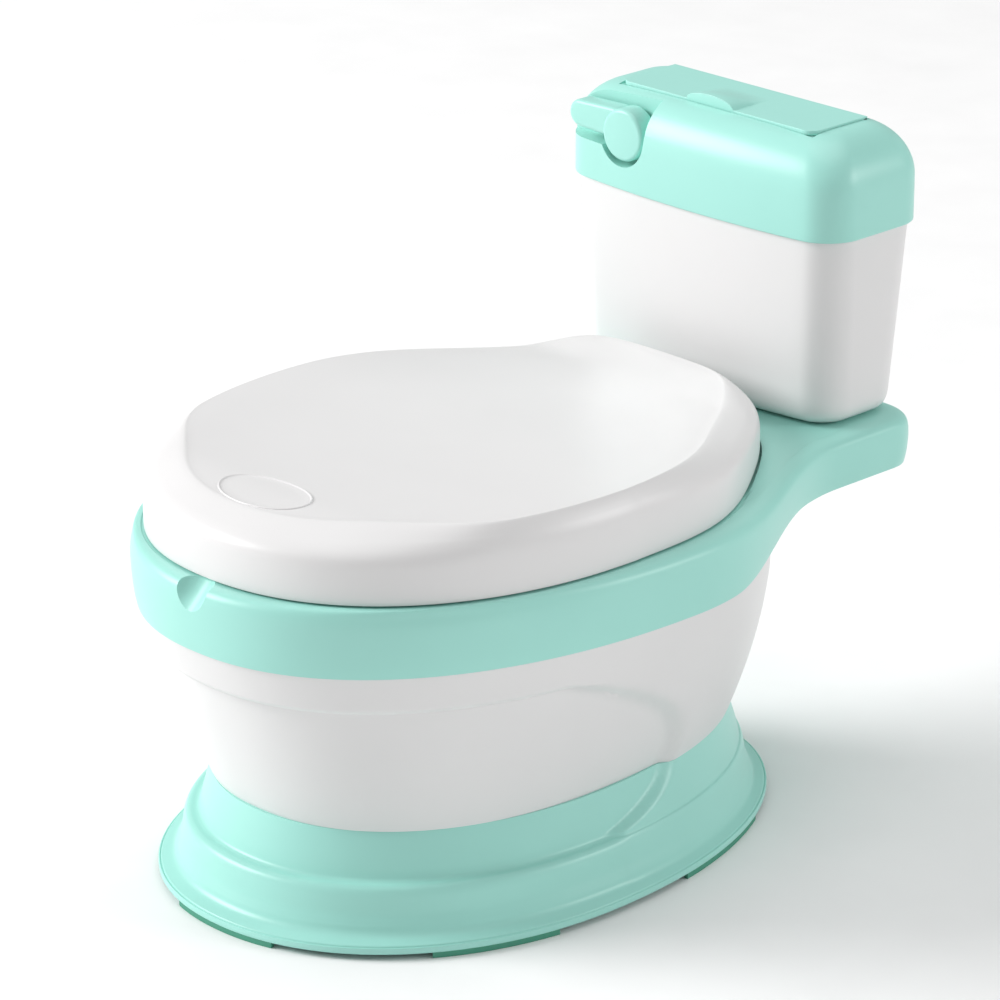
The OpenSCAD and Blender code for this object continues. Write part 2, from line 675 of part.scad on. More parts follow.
module sound_housing() {
    color("#e8e8e6")
    difference() {
        translate([-84, 152, 268]) cube([20, 34, sound_top - 268]);
        translate([-82.4, 153.6, 269.6]) cube([16.8, 30.8, sound_top - 271.2]);
        translate([-86, 158, 276.5]) cube([4, 20, 13]);
        translate([button_spot[0], button_spot[1], 290]) cylinder(r = 2.5 + fit, h = 30);
        for (p = sound_posts)
            translate([p[0], p[1], 290]) cylinder(r = 1.2, h = 30);
        for (i = [-2:2])
            translate([-79, 169 + 3 * i - 0.6, 260]) cube([10, 1.2, 12]);
        translate([-86, 181.5, 283]) rotate([0, 90, 0]) cylinder(r = 0.9, h = 8);
    }
}

module sound_board() {
    color("#2f7d4f")
    translate([-82.2, 153.8, 290.2]) cube([16.4, 30.4, 1.6]);
    color("#2f7d4f")
    translate([button_spot[0] - 3, button_spot[1] - 2.2, 291.8]) cube([6, 5.2, 5.9]);
}

module speaker() {
    color("#5a5a5a")
    translate([-74, 169, 269.6]) cylinder(r = 8, h = 4);
}

module batteries() {
    color("#c9ccd0")
    for (i = [0:2])
        along_y(-74, 160 + 5.4 * i + 0.05, 160 + 5.4 * (i + 1) - 0.05, 283, cell_r);
}

module battery_contacts() {
    color(steel)
    for (y = [159.5, 176.2])
        translate([-78, y, 279]) cube([8, 0.5, 11.2]);
}

module battery_door() {
    color("#e8e8e6")
    difference() {
        translate([-85.2, 155, 274.5]) cube([1.2, 29.5, 17]);
        translate([-86, 181.5, 283]) rotate([0, 90, 0]) cylinder(r = 0.9, h = 8);
    }
}

module battery_screw() {
    color(steel)
    translate([-85.2, 181.5, 283]) rotate([0, 90, 0]) cylinder(r = 0.9, h = 2.8);
    color(steel)
    translate([-86.2, 181.5, 283]) rotate([0, 90, 0]) cylinder(r = 1.8, h = 1);
}

module sound_screws() {
    color(steel)
    for (p = sound_posts) {
        translate([p[0], p[1], sound_top - 1.6]) cylinder(r = 1.2, h = 10);
        translate([p[0], p[1], sound_top - 3]) cylinder(r = 2.3, h = 1.4);
    }
}

base_pedestal();
foot_pads();
base_screws();
bowl_body();
rim_deck();
hinge_pins();
inner_pot();
seat_ring();
seat_bumpers();
lid();
lid_emblem();
lid_bumpers();
tank_body();
tank_screws();
tank_lid();
wipes_box();
wipes_door();
door_pin();
flush_lever();
lever_cam();
cam_screw();
lever_spring();
switch_button();
sound_housing();
sound_board();
speaker();
batteries();
battery_contacts();
battery_door();
battery_screw();
sound_screws();
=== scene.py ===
import json
import math

import bmesh
import bpy
from mathutils import Matrix, Vector


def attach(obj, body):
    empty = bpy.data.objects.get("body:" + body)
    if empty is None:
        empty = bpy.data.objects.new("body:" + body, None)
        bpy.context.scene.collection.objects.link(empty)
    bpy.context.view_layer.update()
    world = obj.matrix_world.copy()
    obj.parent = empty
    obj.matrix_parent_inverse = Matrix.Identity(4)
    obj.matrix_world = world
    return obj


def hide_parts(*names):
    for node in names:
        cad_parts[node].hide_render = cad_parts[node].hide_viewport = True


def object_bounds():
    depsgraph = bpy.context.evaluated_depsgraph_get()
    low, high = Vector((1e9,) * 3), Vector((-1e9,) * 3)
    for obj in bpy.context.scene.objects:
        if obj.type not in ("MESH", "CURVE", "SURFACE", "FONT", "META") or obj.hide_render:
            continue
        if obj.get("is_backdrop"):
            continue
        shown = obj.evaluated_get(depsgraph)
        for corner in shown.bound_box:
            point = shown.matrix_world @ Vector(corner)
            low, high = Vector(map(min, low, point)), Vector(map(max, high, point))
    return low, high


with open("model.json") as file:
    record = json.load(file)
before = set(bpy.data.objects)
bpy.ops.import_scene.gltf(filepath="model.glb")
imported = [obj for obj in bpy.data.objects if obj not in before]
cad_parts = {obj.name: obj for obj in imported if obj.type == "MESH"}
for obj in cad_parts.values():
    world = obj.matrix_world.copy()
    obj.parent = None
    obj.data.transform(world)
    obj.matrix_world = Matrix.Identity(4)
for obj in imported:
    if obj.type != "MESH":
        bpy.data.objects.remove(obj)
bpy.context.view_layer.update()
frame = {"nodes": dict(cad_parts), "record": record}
print("frame loaded")

mm = 0.001


# small maths shared by the lofted pieces
def mix(a, b, k):
    return a + (b - a) * k


def clamp01(v):
    return max(0.0, min(1.0, v))


def ease(v):
    u = clamp01(v)
    return u * u * (3 - 2 * u)


def sinOf(degrees):
    return math.sin(math.radians(degrees))


def cosOf(degrees):
    return math.cos(math.radians(degrees))


def signedPower(v, e):
    return math.copysign(abs(v) ** e, v)


def egg(a, f, c, r, w, nf=2.2, nr=2.2):
    # a point of an egg outline: f front, c widest place, r rear, w half-width
    # nf and nr say how square the front and the rear are, 2 being a plain ellipse
    s, t = sinOf(a), cosOf(a)
    n = nr if s > 0 else nf
    return w * signedPower(t, 2 / n), c + ((r - c) if s > 0 else (c - f)) * signedPower(s, 2 / n)


def eggRing(z, f, c, r, w, count=128):
    return [(*egg(360 * i / count, f, c, r, w), z) for i in range(count)]


def hubRing(z, count):
    # a small egg inside the stand, which the pedestal and the bowl close on
    return eggRing(z, -60, -39, 20, 40, count)


def atZ(ring, z):
    return [(p[0], p[1], z) for p in ring]


def smoothRows(rows, steps):
    # a Catmull-Rom curve through rows of numbers, for soft moulded profiles
    out = []
    for i in range(len(rows) - 1):
        p0, p1, p2, p3 = rows[max(i - 1, 0)], rows[i], rows[i + 1], rows[min(i + 2, len(rows) - 1)]
        for j in range(steps):
            t = j / steps
            out.append([0.5 * (2 * b + (c - a) * t + (2 * a - 5 * b + 4 * c - d) * t * t
                               + (3 * b - a - 3 * c + d) * t ** 3)
                        for a, b, c, d in zip(p0, p1, p2, p3)])
    out.append(list(rows[-1]))
    return out


# from a bmesh to a named piece
def outward(bm):
    # every closed shell in the mesh gets its faces turned outward
    bmesh.ops.recalc_face_normals(bm, faces=bm.faces)
    left = set(bm.faces)
    while left:
        shell, queue = set(), [left.pop()]
        while queue:
            face = queue.pop()
            shell.add(face)
            near = {f for e in face.edges for f in e.link_faces} & left
            left -= near
            queue += near
        if sum(f.calc_center_median().dot(f.normal) * f.calc_area() for f in shell) < 0:
            bmesh.ops.reverse_faces(bm, faces=list(shell))


def meshObject(bm, name):
    mesh = bpy.data.meshes.new(name)
    bm.to_mesh(mesh)
    bm.free()
    piece = bpy.data.objects.new(name, mesh)
    bpy.context.scene.collection.objects.link(piece)
    return piece


def shadeRound(piece, angle):
    # faces that meet at less than the angle are shaded as one surface
    piece.data.shade_smooth()
    piece.data.set_sharp_from_angle(angle=math.radians(angle))


def finishMesh(bm, name, node, body, slot, angle):
    outward(bm)
    piece = meshObject(bm, name)
    shadeRound(piece, angle)
    piece.data.materials.append(finishes[slot])
    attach(piece, body)
    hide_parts(node)
    return piece


def looseShape(name, build):
    # a shape that is then joined to a piece or cut out of it
    bm = bmesh.new()
    build(bm)
    outward(bm)
    return meshObject(bm, name)


def combine(piece, tool, operation):
    modifier = piece.modifiers.new(operation.lower(), "BOOLEAN")
    modifier.operation, modifier.object, modifier.solver = operation, tool, "EXACT"
    with bpy.context.temp_override(object=piece, active_object=piece):
        bpy.ops.object.modifier_apply(modifier=modifier.name)
    bpy.data.objects.remove(tool)


def loft(bm, rings, loop=False):
    # the first ring is extruded from one ring to the next; open ends are closed flat
    first = [bm.verts.new((p[0] * mm, p[1] * mm, p[2] * mm)) for p in rings[0]]
    firstEdges = [bm.edges.new((first[i - 1], first[i])) for i in range(len(first))]
    verts, edges = first, firstEdges
    for ring in rings[1:] + (rings[:1] if loop else []):
        made = bmesh.ops.extrude_edge_only(bm, edges=edges)["geom"]
        fresh = {g for g in made if isinstance(g, bmesh.types.BMVert)}
        verts = [next(e.other_vert(v) for e in v.link_edges if e.other_vert(v) in fresh) for v in verts]
        edges = [g for g in made if isinstance(g, bmesh.types.BMEdge) and fresh.issuperset(g.verts)]
        for v, p in zip(verts, ring):
            v.co = (p[0] * mm, p[1] * mm, p[2] * mm)
    if loop:
        bmesh.ops.weld_verts(bm, targetmap=dict(zip(verts, first)))
    else:
        bmesh.ops.holes_fill(bm, edges=firstEdges + edges)


def roundRod(bm, centre, axis, radius, length, edge=0.4, segments=32):
    # a turned rod with bevelled ends, centred on a point
    made = bmesh.ops.create_cone(bm, cap_ends=True, segments=segments,
                                 radius1=radius * mm, radius2=radius * mm, depth=length * mm)
    verts = made["verts"]
    ends = [e for e in dict.fromkeys(e for v in verts for e in v.link_edges)
            if abs(e.verts[0].co.z - e.verts[1].co.z) < 1e-6]
    bevelled = bmesh.ops.bevel(bm, geom=ends, offset=edge * mm, affect="EDGES", segments=3,
                               profile=0.5, material=-1)
    verts = [v for v in dict.fromkeys([*verts, *bevelled["verts"]]) if v.is_valid]
    turn = {"x": Matrix.Rotation(math.pi / 2, 3, "Y"), "y": Matrix.Rotation(math.pi / 2, 3, "X"),
            "z": Matrix.Identity(3)}[axis]
    bmesh.ops.rotate(bm, cent=(0, 0, 0), matrix=turn, verts=verts)
    bmesh.ops.translate(bm, vec=[c * mm for c in centre], verts=verts)


def roundBlock(bm, low, high, edge=0.5):
    verts = bmesh.ops.create_cube(bm, size=1)["verts"]
    bmesh.ops.scale(bm, vec=[(b - a) * mm for a, b in zip(low, high)], verts=verts)
    bmesh.ops.translate(bm, vec=[(a + b) / 2 * mm for a, b in zip(low, high)], verts=verts)
    edges = list(dict.fromkeys(e for v in verts for e in v.link_edges))
    bmesh.ops.bevel(bm, geom=edges, offset=edge * mm, affect="EDGES", segments=3,
                    profile=0.5, material=-1)


# materials
def linear(hexColour):
    values = [int(hexColour[i:i + 2], 16) / 255 for i in (1, 3, 5)]
    return tuple(v / 12.92 if v <= 0.04045 else ((v + 0.055) / 1.055) ** 2.4 for v in values) + (1.0,)


def addNode(tree, kind, settings=None, links=None, **sockets):
    node = tree.nodes.new(kind)
    for key, value in (settings or {}).items():
        setattr(node, key, value)
    for key, value in sockets.items():
        node.inputs[key.replace("_", " ")].default_value = value
    for key, source in (links or {}).items():
        tree.links.new(source, node.inputs[key])
    return node


# one index of refraction, polypropylene's, serves all the plastics
plastic = {"driftMm": 60, "glossSpread": 0.04, "bumpDepth": 0.0001, "ior": 1.49}


def mouldedFinish(name, colour, shade, roughness, grainMm, relief, coat=0.0, metallic=0.0):
    # colour drifts a little over the moulding and a fine grain breaks up the gloss
    # real grain is about a tenth of a millimetre; it is drawn coarser so that it shows
    material = bpy.data.materials.new(name)
    material.use_nodes = True
    tree = material.node_tree
    tree.nodes.clear()
    place = addNode(tree, "ShaderNodeTexCoord").outputs["Object"]
    drift = addNode(tree, "ShaderNodeTexNoise", links={"Vector": place},
                    Scale=1000 / plastic["driftMm"], Detail=2.0)
    tone = addNode(tree, "ShaderNodeMix", {"data_type": "RGBA"}, {"Factor": drift.outputs["Fac"]})
    # sockets 6 and 7 are the node's two colours and output 2 is the mixed one
    tone.inputs[6].default_value, tone.inputs[7].default_value = linear(colour), linear(shade)
    grain = addNode(tree, "ShaderNodeTexNoise", links={"Vector": place}, Scale=1000 / grainMm, Detail=3.0)
    gloss = addNode(tree, "ShaderNodeMapRange", links={"Value": grain.outputs["Fac"]},
                    To_Min=roughness - plastic["glossSpread"], To_Max=roughness + plastic["glossSpread"])
    bump = addNode(tree, "ShaderNodeBump", links={"Height": grain.outputs["Fac"]},
                   Strength=relief, Distance=plastic["bumpDepth"])
    shader = addNode(tree, "ShaderNodeBsdfPrincipled", links={
        "Base Color": tone.outputs[2], "Roughness": gloss.outputs["Result"],
        "Normal": bump.outputs["Normal"]},
        Metallic=metallic, Coat_Weight=coat, **({} if metallic else {"IOR": plastic["ior"]}))
    addNode(tree, "ShaderNodeOutputMaterial", links={"Surface": shader.outputs["BSDF"]})
    return material


finishes = {
    # polypropylene, injection moulded in a satin tool: soft broad highlights
    "mint_plastic": mouldedFinish("mint_polypropylene_satin", "#a8e5da", "#a2dfd4", 0.36, 1.2, 0.05),
    # the same plastic in white, from a slightly glossier tool
    "white_plastic": mouldedFinish("white_polypropylene_satin", "#e7e6e6", "#e3e2e2", 0.34, 1.2, 0.05),
    # thermoplastic rubber pads: matt, with a fine dragging texture
    "grip_rubber": mouldedFinish("green_thermoplastic_rubber", "#4f9f86", "#498f79", 0.72, 0.5, 0.3),
    # ABS with a spark-eroded texture on the sound unit: dull and even
    "grey_plastic": mouldedFinish("grey_abs_spark_eroded", "#dededb", "#d6d6d3", 0.55, 0.4, 0.2),
    # machined acetal: dark, with a low sheen
    "black_plastic": mouldedFinish("black_acetal", "#26262a", "#2c2c30", 0.42, 0.8, 0.1),
    # glass epoxy board under a green solder mask: a thin clear gloss
    "circuit_board": mouldedFinish("green_solder_mask", "#1f6b3c", "#247244", 0.3, 0.7, 0.1, coat=0.3),
    # bright zinc plating on pressed steel: a cool, slightly cloudy shine
    "plated_steel": mouldedFinish("zinc_plated_steel", "#c4c8cc", "#b6babf", 0.28, 0.3, 0.1, metallic=1.0),
}
for entry in frame["record"]["subparts"]:
    node = frame["nodes"][entry["node"]]
    node.data.materials.clear()
    node.data.materials.append(finishes[entry["material_slot"]])
print("materials made")

# sizes that several pieces share, in millimetres
shared = {
    "baseTop": 55.0, "rimZ": 146.6, "ledgeZ": 181.0, "deckZ": 190.0, "coverZ": 290.0, "topZ": 339.0,
    "hingeY": 106.0, "hingeZ": 200.0, "doorY": 186.0, "doorZ": 337.5, "leverX": -46.5, "leverZ": 318.5,
}
baseTop, rimZ, ledgeZ, deckZ = shared["baseTop"], shared["rimZ"], shared["ledgeZ"], shared["deckZ"]
coverZ, hingeY, hingeZ = shared["coverZ"], shared["hingeY"], shared["hingeZ"]
leverX, leverZ = shared["leverX"], shared["leverZ"]
seatZ = ledgeZ - 0.2
seatTop = seatZ + 11.5
shelfZ = seatZ + 5.5
tankScrews = [(x, y) for x in (-60, 60) for y in (152, 184)]

# the pressed-in panel goes round the front of bowl and pedestal; these place its rear edge
panel = {
    "rear": 15, "highFrom": 66, "highRun": 60, "highShift": 85, "highPower": 2.1,
    "lowFrom": 62, "lowRun": 30, "lowShift": 50, "lowPower": 2.6,
}


def panelLimit(z):
    up = clamp01((z - panel["highFrom"]) / panel["highRun"])
    down = clamp01((panel["lowFrom"] - z) / panel["lowRun"])
    return panel["rear"] - panel["highShift"] * up ** panel["highPower"] \
        - panel["lowShift"] * down ** panel["lowPower"]


# pedestal
pedestal = {
    "front": 193, "rear": 149, "width": 123, "middle": -39, "square": 2.1, "sides": 360,
    # how far the outline is drawn in at the top of the profile, and the wall as a share of that
    "drawFront": 27, "drawMiddle": 9.5, "drawRear": 31, "drawSide": 22.3, "wall": 0.14,
    "coveLow": 34, "coveLead": 5, "coveRun": 12,
    # share of the full draw-in at the front and at the rear, and height
    "lip": [[0.02, 0.02, 3], [0.003, 0.003, 3.4], [0, 0, 3.9], [0, 0, 5.7], [0.008, 0.008, 6.25],
            [0.024, 0.024, 6.4], [0.034, 0.034, 6.1], [0.044, 0.044, 6.1], [0.052, 0.052, 6.75]],
    "profile": [[0.05, 0.05, 6.9], [0.14, 0.14, 7.7], [0.26, 0.25, 9.0], [0.325, 0.30, 10.8],
                [0.355, 0.325, 13.2], [0.385, 0.35, 15.2], [0.43, 0.40, 18.6], [0.46, 0.44, 23.6],
                [0.485, 0.465, 27.6], [0.53, 0.495, 30.2], [0.61, 0.525, 31.5], [0.70, 0.55, 31.9],
                [0.765, 0.57, 32.9], [0.80, 0.585, 35.2], [0.835, 0.62, 39], [0.905, 0.70, 46],
                [0.965, 0.77, 52], [1, 0.8, 55]],
}


def footPoint(a, s, z):
    front, rear = -pedestal["front"] + pedestal["drawFront"] * s, pedestal["rear"] - pedestal["drawRear"] * s
    middle, half = pedestal["middle"] + pedestal["drawMiddle"] * s, pedestal["width"] - pedestal["drawSide"] * s
    return *egg(a, front, middle, rear, half, pedestal["square"], pedestal["square"]), z


def footRing(row, grow=0.0):
    frontShare, rearShare, z = row
    out = []
    for i in range(pedestal["sides"]):
        a = 360 * i / pedestal["sides"]
        y = footPoint(a, frontShare, z)[1]
        m = ease((panelLimit(max(z, pedestal["coveLow"])) + pedestal["coveLead"] - y) / pedestal["coveRun"])
        out.append(footPoint(a, mix(rearShare, frontShare, m) + grow, z))
    return out


outside = pedestal["lip"] + smoothRows(pedestal["profile"], 5)[1:]
inside = [outside[i] for i in range(len(outside) - 1, -1, -4)]
innerRows = [[1, 0.8, baseTop - 3]] + [row for row in inside if 8 < row[2] < 50]
bm = bmesh.new()
loft(bm, [hubRing(baseTop - 3, pedestal["sides"])] + [footRing(row, pedestal["wall"]) for row in innerRows]
     + [footRing([0.02, 0.02, 3], 0.12)] + [footRing(row) for row in outside]
     + [hubRing(baseTop, pedestal["sides"])])
finishMesh(bm, "pedestalShell", "base_pedestal", "stand", "mint_plastic", 40)
print("pedestal made")

# foot pads
pads = {
    # start and end of each pad, in degrees round the pedestal
    "spans": [(-104, -75), (-40, -14), (14, 40), (76, 104), (140, 166), (-166, -140)], "steps": 32,
    # share of the pedestal's draw-in, and height
    "section": [(0.024, 0.4), (0.02, 0.8), (0.02, 3), (0.12, 3), (0.12, 0.4), (0.116, 0), (0.028, 0)],
}
bm = bmesh.new()
for start, end in pads["spans"]:
    angles = [mix(start, end, i / pads["steps"]) for i in range(pads["steps"] + 1)]
    loft(bm, [[footPoint(a, s, z) for s, z in pads["section"]] for a in angles])
finishMesh(bm, "footPads", "foot_pads", "stand", "grip_rubber", 40)
print("pads made")

# bowl
bowl = {
    "sides": 256, "wall": 3.2, "rimWall": 5.6,
    # at the pedestal and at the rim
    "front": (169.5, 200.5), "middle": (-31, -2), "half": (104.2, 131.5), "rear": 124, "rearSwell": 9,
    "panelDepth": 5, "panelTop": 126, "coveLead": 4, "coveRun": 8,
    # heights of the outer rings, close together where the panel's top edge turns
    "heights": [55, 57, *range(60, 117, 4), 119, 122, 124, 124.6, 125, 125.4, 125.8, 126.2, 126.6, 127.2,
                128, 129, 130, 134, 138],
}


def neckEdge(y):
    # the rim's lower edge climbs towards the tank
    return rimZ + 0.2 + 16.8 * ease((y - 30) / 82)


def bowlPoint(a, z, inset=0.0):
    k = clamp01((z - baseTop) / (rimZ - baseTop))
    flare = k ** 0.9
    rear = bowl["rear"] + bowl["rearSwell"] * sinOf(180 * clamp01(k * 0.9)) - 2 * k
    return egg(a, -mix(*bowl["front"], flare) + inset, mix(*bowl["middle"], k), rear - inset,
               mix(*bowl["half"], flare) - inset)


def bowlRing(z, inset=0.0):
    out = []
    topEdge = bowl["panelTop"] - 1.4
    for i in range(bowl["sides"]):
        a = 360 * i / bowl["sides"]
        y = bowlPoint(a, z, inset)[1]
        # the panel ends in a crisp step at its top line and in a soft cove at the rear
        top = 1 - math.sqrt(clamp01((z - topEdge) / 3.4)) if z > topEdge else 1
        limit = panelLimit(min(z, bowl["panelTop"])) + bowl["coveLead"]
        pressed = bowl["panelDepth"] * ease((limit - y) / bowl["coveRun"]) * top
        out.append((*bowlPoint(a, z, inset + pressed), z))
    return out


def tuckRing(lift, inset):
    # follows the rim's lower edge, where the bowl goes up inside the rim
    out = []
    for i in range(bowl["sides"]):
        x, y = bowlPoint(360 * i / bowl["sides"], rimZ, inset)
        out.append((x, y, neckEdge(y) + lift))
    return out


bm = bmesh.new()
loft(bm, [hubRing(baseTop, bowl["sides"])] + [bowlRing(z) for z in bowl["heights"]]
     + [tuckRing(-0.5, 0), tuckRing(-0.4, 3)]
     + [atZ(tuckRing(0, inset), ledgeZ - 11) for inset in (3, 5.8)]
     + [bowlRing(z, bowl["rimWall"] if z > 120 else bowl["wall"]) for z in (140, 118, 97, 79, 64)]
     + [atZ(bowlRing(baseTop, bowl["wall"]), baseTop + 3), hubRing(baseTop + 3, bowl["sides"])])
finishMesh(bm, "bowlShell", "bowl_body", "stand", "white_plastic", 50)
print("bowl made")

# rim, neck and deck
rim = {
    "width": 135, "front": 204, "middle": -2, "neckRun": 141, "neckWidth": 98, "neckRear": 201.5, "turn": 20,
    "sideSteps": 40, "turnSteps": 14, "endSteps": 7, "frontSteps": 128,
    # outside of the band: share of the way in, extra inset all round and at the rear, share of its height
    "band": [[0, 2.4, 0, 0], [0, 1.1, 0, 0.2], [0, 0.2, 0, 0.5], [0, 0, 0.6, 0.74], [0, 0.7, 1.8, 0.88],
             [0.25, 0.6, 4, 0.955], [0.6, 0.3, 7.5, 0.988], [1, 0, 11, 1]],
    "cheekX": 37, "cheekHalf": 3.5, "barrel": 5.5, "scoopRadius": 11.5, "scoopY": -212, "scoopZ": 176,
    "scoopBack": ((-15, -199.5, 170.4), (15, -192.5, 180.4)),
}
rearCount = 2 * (rim["sideSteps"] + rim["turnSteps"] + 1 + rim["endSteps"]) - 1
ringCount = rearCount + rim["frontSteps"]


def deckTop(y):
    return mix(ledgeZ, deckZ, ease((y - 55) / 75))


def rimHalf(y, w, tail):
    # the sides sweep in from the rim to the neck
    u = clamp01((y - rim["middle"]) / rim["neckRun"])
    return tail + (w - tail) * 0.5 * (1 + cosOf(180 * u ** 1.1))


def rimRoom(a):
    # how far the rounded top edge reaches in from the outline
    return 1.5 + 6.2 * cosOf(2 * a) ** 2


def rimOutline(k, d, rearIn):
    w, tail = rim["width"] - k * rimRoom(0) - d, rim["neckWidth"] - 10 * k - d
    rear, r = rim["neckRear"] - rearIn, rim["turn"]
    half = []
    for i in range(rim["sideSteps"]):
        y = mix(rim["middle"], rear - r, i / rim["sideSteps"])
        half.append((rimHalf(y, w, tail), y))
    for i in range(rim["turnSteps"] + 1):
        a = 90 * i / rim["turnSteps"]
        half.append((tail - r + r * cosOf(a), rear - r + r * sinOf(a)))
    half += [((tail - r) * (1 - i / rim["endSteps"]), rear) for i in range(1, rim["endSteps"] + 1)]
    ring = half + [(-x, y) for x, y in reversed(half[:-1])]
    for i in range(rim["frontSteps"]):
        a = 180 + 180 * i / rim["frontSteps"]
        g = k * rimRoom(a) + d
        ring.append(egg(a, -rim["front"] + g, rim["middle"], 100, rim["width"] - g))
    return ring


def innerAngle(i):
    # an inner outline has as many points at the rear and at the front as the outer outline
    return 180 * i / rearCount if i < rearCount else 180 + 180 * (i - rearCount) / rim["frontSteps"]


def innerRing(f, c, r, w):
    return [egg(innerAngle(i), -f, c, r, w) for i in range(ringCount)]


lidPlan = {"front": 194, "half": 125.2, "middle": (-34, -38), "rear": 121, "slope": 0.63, "slopeAt": 142.8,
           "blend": 14}


def lidEdge(a, d, rear):
    # an egg in front; behind, straight sides that close in to a straight rear
    half, slope, blend = lidPlan["half"] - d, lidPlan["slope"], lidPlan["blend"]
    mid = mix(*lidPlan["middle"], max(0, d) / 125)
    c, t = abs(cosOf(a)), sinOf(a)
    if t <= 1e-9:
        return egg(a, -lidPlan["front"] + d, mid, 100, half)
    slant = lidPlan["slopeAt"] - slope * mid - d * math.hypot(1, slope)
    reach = (half / max(c, 0.001), slant / (c + slope * t), (lidPlan["rear"] - rear - mid) / t)
    r = sum(v ** -blend for v in reach) ** (-1 / blend)
    return math.copysign(r * c, cosOf(a)), mid + r * t


def lidGap(g):
    return [lidEdge(innerAngle(i), -g, -g) for i in range(ringCount)]


def underStep():
    # the ledge's underside ends inside the lid's edge at the front and outside it at the rear
    out = []
    for i in range(ringCount):
        a = innerAngle(i)
        g = mix(-3.5, 4, ease(sinOf(a) / 0.45))
        out.append(lidEdge(a, -g, -g))
    return out


def onEdge(ring, lift):
    return [(p[0], p[1], neckEdge(p[1]) + lift) for p in ring]


def onDeck(ring, lift):
    return [(p[0], p[1], deckTop(p[1]) + lift) for p in ring]


def blendRings(a, b, k):
    return [(mix(p[0], q[0], k), mix(p[1], q[1], k)) for p, q in zip(a, b)]


well, wellBack = innerRing(158, -40, 72, 92), innerRing(160.5, -40, 74.5, 94.5)
gap, crown, innerWall = lidGap(1), rimOutline(1, 0, 11), rimOutline(0, 5.2, 4)
rings = [onEdge(rimOutline(0, 3.1, 0), 0.5), onEdge(rimOutline(0, 2.6, 0), 0.05)]
for k, d, rearIn, up in smoothRows(rim["band"], 5):
    rings.append([(x, y, mix(neckEdge(y), deckTop(y), clamp01(up))) for x, y in rimOutline(k, d, rearIn)])
rings += [onDeck(blendRings(crown, gap, t), 0) for t in (0.3, 0.6, 0.9)]
rings += [onDeck(gap, -0.4), atZ(lidGap(0.9), ledgeZ - 0.2), atZ(well, ledgeZ - 0.2), atZ(well, ledgeZ - 9),
          atZ(wellBack, ledgeZ - 9), atZ(wellBack, ledgeZ - 3), atZ(underStep(), ledgeZ - 3)]
rings += [onDeck(blendRings(innerWall, underStep(), 0.5), -3), onDeck(innerWall, -7), onEdge(innerWall, 0)]
bm = bmesh.new()
loft(bm, rings, loop=True)
for side in (-1, 1):  # hinge cheeks
    x, half, r = side * rim["cheekX"], rim["cheekHalf"], rim["barrel"]
    roundRod(bm, (x, hingeY, hingeZ), "x", r, 2 * half)
    roundBlock(bm, (x - half, hingeY - r, ledgeZ - 1), (x + half, hingeY + r, hingeZ))
for x, y in tankScrews:  # bosses for the tank's screws
    roundRod(bm, (x, y, deckZ - 7), "z", 4.5, 10)
rimPiece = finishMesh(bm, "rimAndDeck", "rim_deck", "stand", "mint_plastic", 38)


def scoopShape(bm):
    # a half-round scoop for a finger under the lid, leaning back at 45 degrees
    radius = rim["scoopRadius"] * mm
    verts = bmesh.ops.create_cone(bm, cap_ends=True, segments=96, radius1=radius, radius2=radius,
                                  depth=50 * mm)["verts"]
    lean = Matrix.Rotation(math.radians(-45), 3, "X")
    bmesh.ops.rotate(bm, cent=(0, 0, 0), matrix=lean, verts=verts)
    bmesh.ops.translate(bm, vec=(0, rim["scoopY"] * mm, rim["scoopZ"] * mm), verts=verts)


def scoopBacking(bm):
    # closes the scoop off from the hollow behind the rim
    roundBlock(bm, *rim["scoopBack"], 0.3)


combine(rimPiece, looseShape("backing", scoopBacking), "UNION")
combine(rimPiece, looseShape("scoop", scoopShape), "DIFFERENCE")
shadeRound(rimPiece, 38)
print("rim made")

# seat ring and pot, in rows of height, front, widest place, rear and half-width
seat = {
    "outside": [[seatZ, -183, -36, 86, 113], [seatZ + 3, -184.4, -36, 87, 114.4],
                [seatZ + 7, -183.6, -36, 86.5, 113.6], [seatZ + 10, -180, -36, 84, 110],
                [seatTop, -173, -37, 79, 104], [seatTop, -165, -38, 71, 96],
                [seatTop - 1.6, -160, -39, 66.5, 91], [shelfZ + 3, -158, -40, 64, 88],
                [shelfZ, -157, -40, 63, 87]],
    "shelf": [[shelfZ, -149, -42, 56, 79], [seatZ, -148, -42, 55, 78]],
}
bm = bmesh.new()
loft(bm, [eggRing(*row) for row in smoothRows(seat["outside"], 4) + seat["shelf"]], loop=True)
finishMesh(bm, "seatRing", "seat_ring", "stand", "white_plastic", 40)

lipZ = shelfZ + 0.3
pot = {
    "outside": [[72, -112, -45, 28, 52], [76, -118, -45, 34, 58], [120, -134, -43, 44, 68],
                [lipZ, -146.5, -42, 53.5, 76.5]],
    "lip": [[lipZ, -155.4, -40, 61.4, 85.4], [lipZ + 0.6, -156, -40, 62, 86], [lipZ + 1.8, -156, -40, 62, 86],
            [lipZ + 2.4, -155.2, -40, 61.2, 85.2], [lipZ + 2.4, -147.5, -42, 54.5, 77],
            [lipZ + 1.6, -145, -42, 52, 75]],
    "inside": [[lipZ, -144, -42, 51, 74], [120, -131.5, -43, 41.5, 65.5], [78, -115.5, -45, 31.5, 55.5],
               [74.5, -109, -45, 25, 49]],
}
rows = [[72, -70, -50, 0, 20]] + smoothRows(pot["outside"], 5) + pot["lip"] + smoothRows(pot["inside"], 5)
rows.append([74.5, -70, -50, 0, 20])
bm = bmesh.new()
loft(bm, [eggRing(*row) for row in rows])
finishMesh(bm, "innerPot", "inner_pot", "pot", "white_plastic", 40)
print("seat and pot made")

